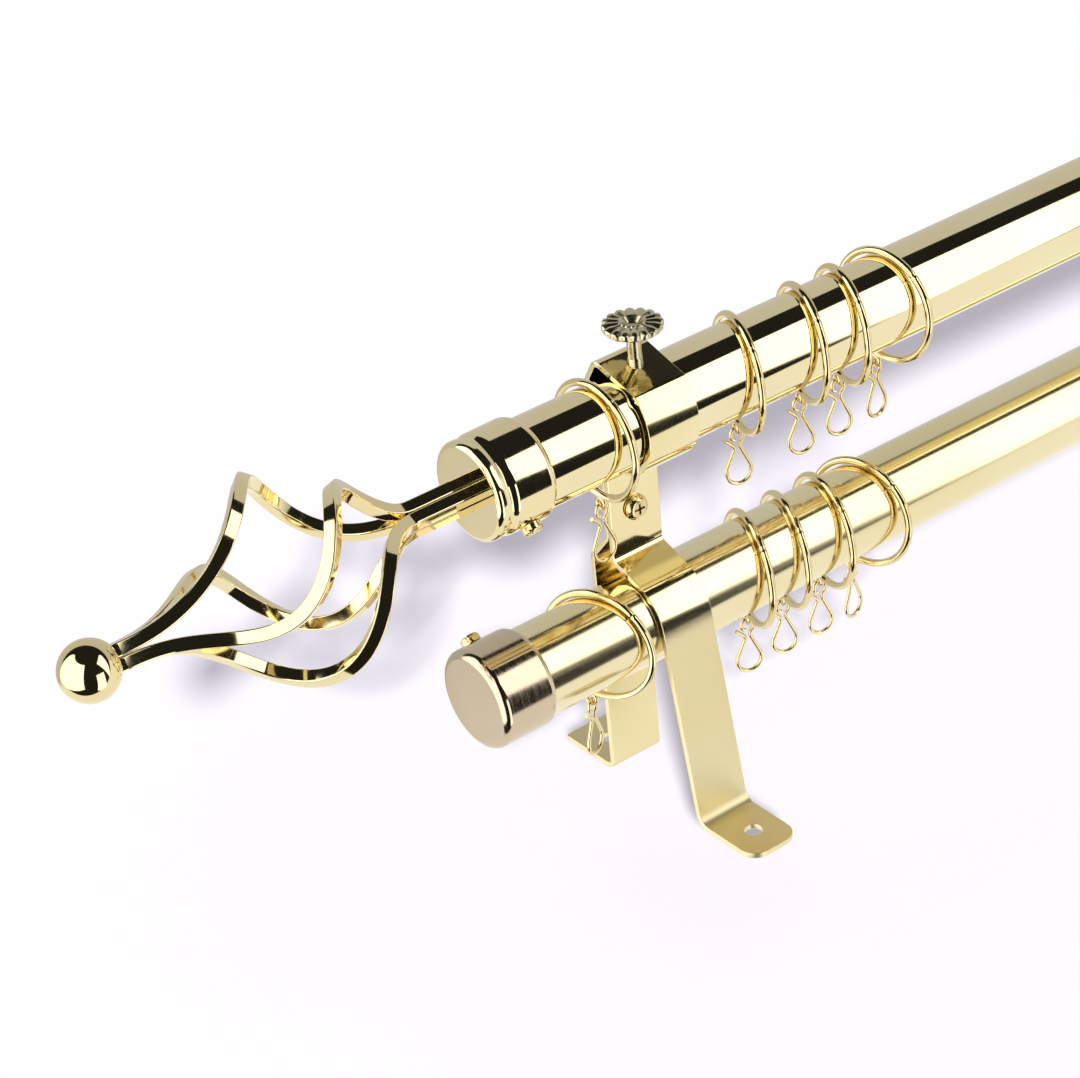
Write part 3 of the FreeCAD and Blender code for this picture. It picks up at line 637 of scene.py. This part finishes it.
def make_thumbscrews():
    """Flower-headed screw: a thin dished head, petals round it and a dimple in the middle."""
    low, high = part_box("thumbscrew_left")
    rim = THUMB_RIM
    # the solid's head is domed, and the dished one stays below its top
    drop = (high.z - low.z) / MM - (rim + THUMB_DOME)
    tip = -drop
    # only the end is threaded, and a smooth shank runs from there to the head
    thread_end = tip + 4.2
    shank = THUMB_SHAFT - 0.1
    hub = 3.4
    dish = THUMB_RADIUS - 1.6
    dimple = 1.5
    outline = [(tip, 0, 0), (tip, 1.5, 0.3), (tip + 0.5, shank, 0)]
    outline += thread(tip + 0.7, thread_end, THUMB_SHAFT)
    outline += [(thread_end + 0.4, shank, 0), (-rim / 2, shank, 0), (-rim / 2, hub - 0.2, 0.4),
                (0, hub, 0.3), (1.1, THUMB_RADIUS - 0.5, 0.5), (1.5, THUMB_RADIUS, 0.4),
                (rim - 0.1, THUMB_RADIUS, 0.6), (rim + 0.35, dish, 1.0), (rim + 0.25, 3.7, 1.0),
                (rim + 0.45, 3.1, 0.3), (rim - 1.1, dimple, 0.8), (rim - 1.3, 0, 0)]
    per_petal = 8
    screw = turned("thumbscrew_pattern", outline, sides=PETALS * per_petal, step=15.0)
    alone(screw)
    editing()

    def valley(place, steps):
        radius = math.hypot(place.y, place.z) / MM
        index = round(math.atan2(place.z, place.y) / (2 * math.pi) * PETALS * per_petal)
        on_crown = radius > hub and place.x > 0.4 * MM
        return on_crown and index % per_petal in steps

    # the valleys sink into the crown and draw the rim in, and the steps beside them do so less
    for steps, sink, draw in (((0,), 0.45, 0.940), ((1, 7), 0.28, 0.965), ((2, 6), 0.10, 0.988)):
        select_where(screw, lambda place: valley(place, steps) and place.x > 1.2 * MM)
        bpy.ops.transform.translate(value=(-sink * MM, 0, 0))
        select_where(screw, lambda place: valley(place, steps)
                     and math.hypot(place.y, place.z) > 6.2 * MM)
        bpy.ops.transform.resize(value=(1, draw, draw), center_override=(0, 0, 0))
    done()
    upright = Matrix.Rotation(-math.pi / 2, 4, "Y")
    for side in SIDES:
        node = "thumbscrew_" + side
        seat = (middle(node)[0], POLE_Y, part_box(node)[0].z + drop * MM)
        one = copy_of(screw, side + "_flower_screw", Matrix.Translation(seat) @ upright)
        finish_piece(one, cast_plate, "finial_brass", node, body=node, angle=28.0,
                     weighted=False)
    bpy.data.objects.remove(screw)


# Cups, caps and balls

def make_cups():
    bore = TUBE + TUBE_PLAY
    barrel = bore + SOCKET_WALL
    lip = barrel - 0.3
    neck = barrel - 0.9
    bead = barrel + 0.15
    end = CUP_LENGTH
    outline = [(0, 0, 0), (0, lip, 1.5), (2.5, lip, 0.7), (4.0, neck, 1.4), (5.8, barrel, 1.8),
               (end - 1.4, bead, 2.2), (end, barrel - 0.7, 0.3), (end, bore, 0.1),
               (SOCKET_FLOOR, bore, 0.3), (SOCKET_FLOOR, 0, 0)]
    cup = turned("cup_pattern", outline)
    # the bars' bundle passes through a square hole that fits it
    across = (2 * BAR_SIDE + BAR_GAP + 0.04) * MM
    square = primitive("square", bpy.ops.mesh.primitive_cube_add, size=1,
                       location=(0, 0, 0), scale=(3 * SOCKET_FLOOR * MM, across, across))
    corner = bar_centre(0.0, 0)[1]
    move(square, Matrix.Rotation(corner + math.pi / 4, 4, "X"))
    carve(cup, square)
    at_both_ends(cup, "cup", "finial_cup_%s", "finial_cup_%s", FRONT_Z, buffed_brass,
                 "finial_brass")
    bpy.data.objects.remove(cup)


def make_caps():
    bore = TUBE + TUBE_PLAY
    wide = bore + SOCKET_WALL
    end = CAP_LENGTH
    outline = [(0, 0, 0), (0, wide, 2.2), (end - 1.2, wide, 1.6), (end, wide - 0.7, 0.3),
               (end, bore, 0.1), (SOCKET_FLOOR, bore, 0.3), (SOCKET_FLOOR, 0, 0)]
    cap = turned("cap_pattern", outline)
    at_both_ends(cap, "cap", "end_cap_%s", "end_cap_%s", BACK_Z, champagne, "cap_champagne")
    bpy.data.objects.remove(cap)


def make_balls():
    """A ball with a flat where it is welded to the bundle of bars."""
    rim = math.sqrt(BALL_RADIUS ** 2 - BALL_FLAT ** 2)
    start = math.pi
    end = math.atan2(rim, BALL_FLAT)
    count = 48
    angles = [start + (end - start) * i / count for i in range(count + 1)]
    arc = [(BALL_RADIUS * math.cos(a), BALL_RADIUS * math.sin(a), 0) for a in angles]
    arc[0] = (-BALL_RADIUS, 0, 0)
    ball = turned("ball_pattern", arc + [(BALL_FLAT, 0, 0)], sides=96)
    at_both_ends(ball, "ball", "finial_ball_%s", "finial_ball_%s", FRONT_Z, buffed_brass,
                 "finial_brass", Matrix.Translation((BALL_RADIUS * MM, 0, 0)), weighted=False)
    bpy.data.objects.remove(ball)


# Cage finial: four square bars leave the bundle, swell into a twisted basket and close again

def bar_centre(x, number):
    """Middle of a bar at a place along the basket's axis, and its angle round it."""
    share = min(max((x + CAGE_OFFSET + CAGE_LENGTH) / CAGE_LENGTH, 0.0), 1.0)
    swell = math.sin(math.pi * share ** CAGE_SKEW) ** 2
    away = BUNDLE_RADIUS + (CAGE_RADIUS - BUNDLE_RADIUS) * swell
    lag = share ** CAGE_LAG
    wind = lag - math.sin(2 * math.pi * lag) / (2 * math.pi)
    angle = math.radians(CAGE_START + 90 * number - CAGE_TWIST * wind)
    return Vector((x, away * math.cos(angle), away * math.sin(angle))), angle


def bar_frame(x, number):
    """Middle of a bar's section and the two directions across it, towards its corners."""
    step = 0.05
    centre, angle = bar_centre(x, number)
    ahead = bar_centre(x + step, number)[0]
    behind = bar_centre(x - step, number)[0]
    apart = min((math.hypot(centre.y, centre.z) - BUNDLE_RADIUS) / BAR_SIDE, 1.0)
    along = (Vector((2 * step, 0, 0)) * (1 - apart) + (ahead - behind) * apart).normalized()
    outward = Vector((0, math.cos(angle), math.sin(angle)))
    outward = (outward - along * outward.dot(along)).normalized()
    return centre, outward, along.cross(outward)


def square_section():
    """Points round a square bar with softly rounded edges, its corners on the two axes."""
    rounding = 0.42
    steps = 4
    reach = BAR_SIDE / math.sqrt(2)
    inner = 1 - rounding * math.sqrt(2) / reach
    points = []
    for number, (a, b) in enumerate([(reach, 0), (0, reach), (-reach, 0), (0, -reach)]):
        for i in range(steps + 1):
            turn = math.radians(90 * number - 45 + 90 * i / steps)
            points.append((a * inner + rounding * math.cos(turn),
                           b * inner + rounding * math.sin(turn)))
    return points


def make_bar(number):
    """A sheet of squares rolled round the bar's path, closed along its seam and at its ends."""
    section = square_section()
    around = len(section)
    stations = 132
    start = -CAGE_OFFSET - CAGE_LENGTH - BAR_WELD
    end = SOCKET_FLOOR + BAR_INSET
    bar = primitive("bar_%d" % (number + 1), bpy.ops.mesh.primitive_grid_add,
                    x_subdivisions=stations, y_subdivisions=around, size=1.0)
    frames = [bar_frame(start + (end - start) * i / stations, number)
              for i in range(stations + 1)]
    for vertex in bar.data.vertices:
        i = round((vertex.co.x + 0.5) * stations)
        j = round((vertex.co.y + 0.5) * around) % around
        centre, outward, aside = frames[i]
        # the ends are drawn in a little, as sawn ends that were tumbled
        share = 0.9 if i in (0, stations) else 1.0
        across = outward * section[j][0] * share + aside * section[j][1] * share
        vertex.co = (centre + across) * MM
    alone(bar)
    editing()
    bpy.ops.mesh.select_all(action="SELECT")
    bpy.ops.mesh.remove_doubles(threshold=MERGE)
    bpy.ops.mesh.select_all(action="DESELECT")
    bpy.ops.mesh.select_non_manifold()
    bpy.ops.mesh.fill_holes(sides=0)
    tidy_mesh()
    done()
    return bar


def make_cages():
    for number in range(4):
        bar = make_bar(number)
        at_both_ends(bar, "twisted_bar_%d" % (number + 1), "finial_cup_%s",
                     "finial_bar_%s_" + str(number + 1), FRONT_Z, buffed_brass,
                     "finial_brass")
        bpy.data.objects.remove(bar)


# Rings, eyelets and wire clips

def make_ring_pattern():
    """A hoop of round wire with its butt joint, and the eyelet welded under it."""
    upright = (0, math.pi / 2, 0)
    segments = 216
    reach = (RING_OUTSIDE - RING_WIRE) * MM
    hoop = primitive("ring_pattern", bpy.ops.mesh.primitive_torus_add, major_radius=reach,
                     minor_radius=RING_WIRE * MM, major_segments=segments, minor_segments=24,
                     rotation=upright)
    editing()
    # the joint of the wire's two ends shows as a fine groove high on the near side
    seam = math.radians(120)
    groove = 0.84
    wire_middle = Vector((0, math.cos(seam), math.sin(seam))) * reach
    half_step = math.pi / segments
    select_where(hoop, lambda place: abs(math.atan2(place.z, place.y) - seam) < half_step)
    bpy.ops.transform.resize(value=(groove, groove, groove), center_override=wire_middle)
    done()
    eye_z = -(RING_OUTSIDE + EYE_RADIUS + EYE_WIRE - EYE_WELD) * MM
    eyelet = primitive("eyelet", bpy.ops.mesh.primitive_torus_add, major_radius=EYE_RADIUS * MM,
                       minor_radius=EYE_WIRE * MM, major_segments=64, minor_segments=16,
                       rotation=upright, location=(0, 0, eye_z))
    carve(hoop, eyelet, "UNION")
    return hoop


def make_clip_pattern():
    """Hairpin of round wire: open tip, pinched neck, pear-shaped loop, and an eye on top."""
    top = EYE_WIRE + CLIP_PLAY + CLIP_WIRE
    side = CLIP_WIRE + CLIP_PLAY
    neck = -CLIP_NECK
    tip = neck + 2.6
    cheek = neck - 6.4
    foot = -CLIP_LENGTH
    wide = CLIP_HALF_WIDTH
    foot_bend = wide * 0.98
    eye = CLIP_EYE
    eye_bend = eye * 0.99
    eye_end = top - eye * 2
    corners = [
        (-wide, tip, 0), (-side, neck, 1.5), (-wide, cheek, 3.0),
        (-wide, foot, foot_bend), (wide, foot, foot_bend), (wide, cheek, 3.0),
        (side, neck, 1.2), (side, neck + 1.4, 0.8), (eye, top - eye * 1.85, 1.0),
        (eye, top, eye_bend), (-eye, top, eye_bend), (-eye, eye_end, eye * 0.6),
        (-CLIP_WIRE * 1.1, eye_end, 0)]
    points = bend(corners, 9.0)
    path = bpy.data.curves.new("clip_pattern", "CURVE")
    path.dimensions = "3D"
    path.bevel_depth = CLIP_WIRE * MM
    path.bevel_resolution = 4
    path.use_fill_caps = True
    line = path.splines.new("POLY")
    line.points.add(len(points) - 1)
    for place, point in zip(points, line.points):
        point.co = (place.x * MM, 0, place.y * MM, 1)
    clip = bpy.data.objects.new("clip_pattern", path)
    scene.collection.objects.link(clip)
    alone(clip)
    bpy.ops.object.convert(target="MESH")
    clip = bpy.context.object
    editing()
    tidy_mesh()
    done()
    return clip


def make_rings():
    ring = make_ring_pattern()
    clip = make_clip_pattern()
    hinges = {joint["child"]: joint for joint in frame["joints"] if joint["type"] == "hinge"}
    for row in ("front", "back"):
        for number in range(1, 6):
            node = "%s_ring_%d" % (row, number)
            hook = "%s_clip_%d" % (row, number)
            hinge = hinges[hook]
            yaw = math.atan2(-hinge["axis"][0], hinge["axis"][1])
            turn = Matrix.Rotation(yaw, 4, "Z")
            centre = Vector((middle(node)[0], POLE_Y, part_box(node)[1].z - RING_OUTSIDE * MM))
            # the clip's hinge lies under the eyelet, which tells how far the ring has rolled
            hang = turn.inverted() @ (Vector(hinge["pos_m"]) - centre)
            roll = Matrix.Rotation(math.atan2(hang.y, -hang.z - EYE_RADIUS * MM), 4, "X")
            placed = Matrix.Translation(centre) @ turn @ roll
            one = copy_of(ring, "%s_hoop_%d" % (row, number), placed)
            finish_piece(one, drawn_wire, "ring_brass", node, body=node, weighted=False)
            placed = Matrix.Translation(Vector(hinge["pos_m"])) @ turn
            one = copy_of(clip, "%s_wire_clip_%d" % (row, number), placed)
            finish_piece(one, drawn_wire, "ring_brass", hook, body=hook, weighted=False)
    bpy.data.objects.remove(ring)
    bpy.data.objects.remove(clip)


make_poles()
make_straps()
make_clamps()
make_set_screws()
make_thumbscrews()
make_cups()
make_caps()
make_balls()
make_cages()
make_rings()


# Camera, at the photograph's angle

aim = Vector((-335.8, 4.39, 93.92)) * MM
away = 0.865
look = Vector((0.4916, 0.6956, -0.5240)).normalized()
right = Vector((0.7838, -0.6157, -0.0819)).normalized()
above = right.cross(look).normalized()
camera = bpy.data.objects.new("camera", bpy.data.cameras.new("camera"))
camera.data.lens = 113.35
camera.data.sensor_width = 36.0
camera.data.clip_start = 0.01
camera.data.clip_end = 50.0
basis = Matrix((right, above, -look)).transposed()
camera.matrix_world = Matrix.Translation(aim - look * away) @ basis.to_4x4()
scene.collection.objects.link(camera)
scene.camera = camera


# Floor: pale paper that keeps the soft shadow, and lies a little behind the wall plane so
# that the feet drop a shadow too. Metal mirrors the studio instead of it.

def make_floor():
    floor_z = -35 * MM
    floor = primitive("floor", bpy.ops.mesh.primitive_plane_add, size=8.0,
                      location=(0, 0, floor_z))
    floor.visible_glossy = False
    material, tree = blank_material("paper, white sweep")
    paper = add(tree, "ShaderNodeBsdfDiffuse", {"Color": linear("#CECBD0")})
    # a faint glow of lilac, which tints the shadows more than the lit paper
    glow = add(tree, "ShaderNodeEmission", {"Color": linear("#3F3850"), "Strength": 1.0})
    both = add(tree, "ShaderNodeAddShader", {
        0: paper.outputs["BSDF"], 1: glow.outputs["Emission"]})
    add(tree, "ShaderNodeOutputMaterial", {"Surface": both.outputs["Shader"]})
    floor.data.materials.append(material)


def make_sun():
    """A soft sun almost behind the camera, so that each shadow shows just below its piece."""
    lamp = bpy.data.lights.new("key_light", "SUN")
    lamp.energy = 5.1
    lamp.angle = math.radians(3.5)
    sun = bpy.data.objects.new("key_light", lamp)
    rightwards = 0.008
    downwards = 0.037
    travel = (look + right * rightwards - above * downwards).normalized()
    sun.rotation_mode = "QUATERNION"
    sun.rotation_quaternion = travel.to_track_quat("-Z", "Y")
    sun.visible_glossy = False
    scene.collection.objects.link(sun)


# World: what the polished metal mirrors. Three softboxes, the white table, and dark between.

def make_world():
    world = bpy.data.worlds.new("studio")
    scene.world = world
    world.use_nodes = True
    tree = world.node_tree
    tree.nodes.clear()
    way = add(tree, "ShaderNodeTexCoord").outputs["Generated"]

    def beyond(direction, edge, blur=0.012):
        """1 where a ray leans more than edge towards the direction, with a soft border."""
        lean = add(tree, "ShaderNodeVectorMath", {0: way, 1: direction}, operation="DOT_PRODUCT")
        step = add(tree, "ShaderNodeMapRange", {
            "Value": lean.outputs["Value"], "From Min": edge - blur, "From Max": edge + blur},
            interpolation_type="SMOOTHSTEP")
        return step.outputs["Result"]

    def lit_area(level, *borders):
        """Light of a level within borders, each a direction and how far a ray leans there."""
        light = level
        for direction, edge in borders:
            light = add(tree, "ShaderNodeMath", {0: light, 1: beyond(direction, edge)},
                        operation="MULTIPLY").outputs[0]
        return light

    key_box = lit_area(2.0, ((0.680, -0.425, -0.598), 0.0), ((0.826, 0.483, 0.289), 0.05),
                       ((0.768, -0.414, -0.487), 0.0), ((-0.700, -0.620, 0.350), -0.03),
                       ((0.0, -1.0, 0.0), 0.25))
    side_box = lit_area(2.0, ((-0.630, 0.775, 0.052), 0.0), ((-0.610, 0.013, 0.790), 0.0),
                        ((-0.815, -0.565, 0.120), 0.0), ((-0.940, -0.238, -0.245), 0.0),
                        ((0.0, 0.0, -1.0), -0.80))
    fill_box = lit_area(1.8, ((-1.0, 0.0, 0.0), -0.36), ((1.0, 0.0, 0.0), -0.10),
                        ((0.0, -1.0, 0.0), 0.70), ((0.0, 0.0, -1.0), -0.20))
    # the white table is brighter on its near side
    near_table = beyond((0.0, -0.6, -0.8), 0.0, blur=0.1)
    table_level = add(tree, "ShaderNodeMapRange", {
        "Value": near_table, "To Min": 0.6, "To Max": 1.0}).outputs["Result"]
    table = lit_area(table_level, ((0.611, 0.536, -0.583), 0.09))
    studio = 0.0
    for light in (key_box, side_box, fill_box, table):
        studio = add(tree, "ShaderNodeMath", {0: studio, 1: light},
                     operation="MAXIMUM").outputs[0]
    dark = 0.015
    mirrored = add(tree, "ShaderNodeMath", {0: studio, 1: dark}, operation="ADD").outputs[0]
    # matt surfaces get an even light instead, and the camera sees plain white
    ambient = 0.70
    white = 1.0
    path = add(tree, "ShaderNodeLightPath")
    lit = add(tree, "ShaderNodeMix", {
        "Factor": path.outputs["Is Glossy Ray"], "A": ambient, "B": mirrored},
        data_type="FLOAT")
    seen = add(tree, "ShaderNodeMix", {
        "Factor": path.outputs["Is Camera Ray"], "A": lit.outputs[0], "B": white},
        data_type="FLOAT")
    background = add(tree, "ShaderNodeBackground", {
        "Color": linear("#FFFFFF"), "Strength": seen.outputs[0]})
    add(tree, "ShaderNodeOutputWorld", {"Surface": background.outputs["Background"]})


make_floor()
make_sun()
make_world()
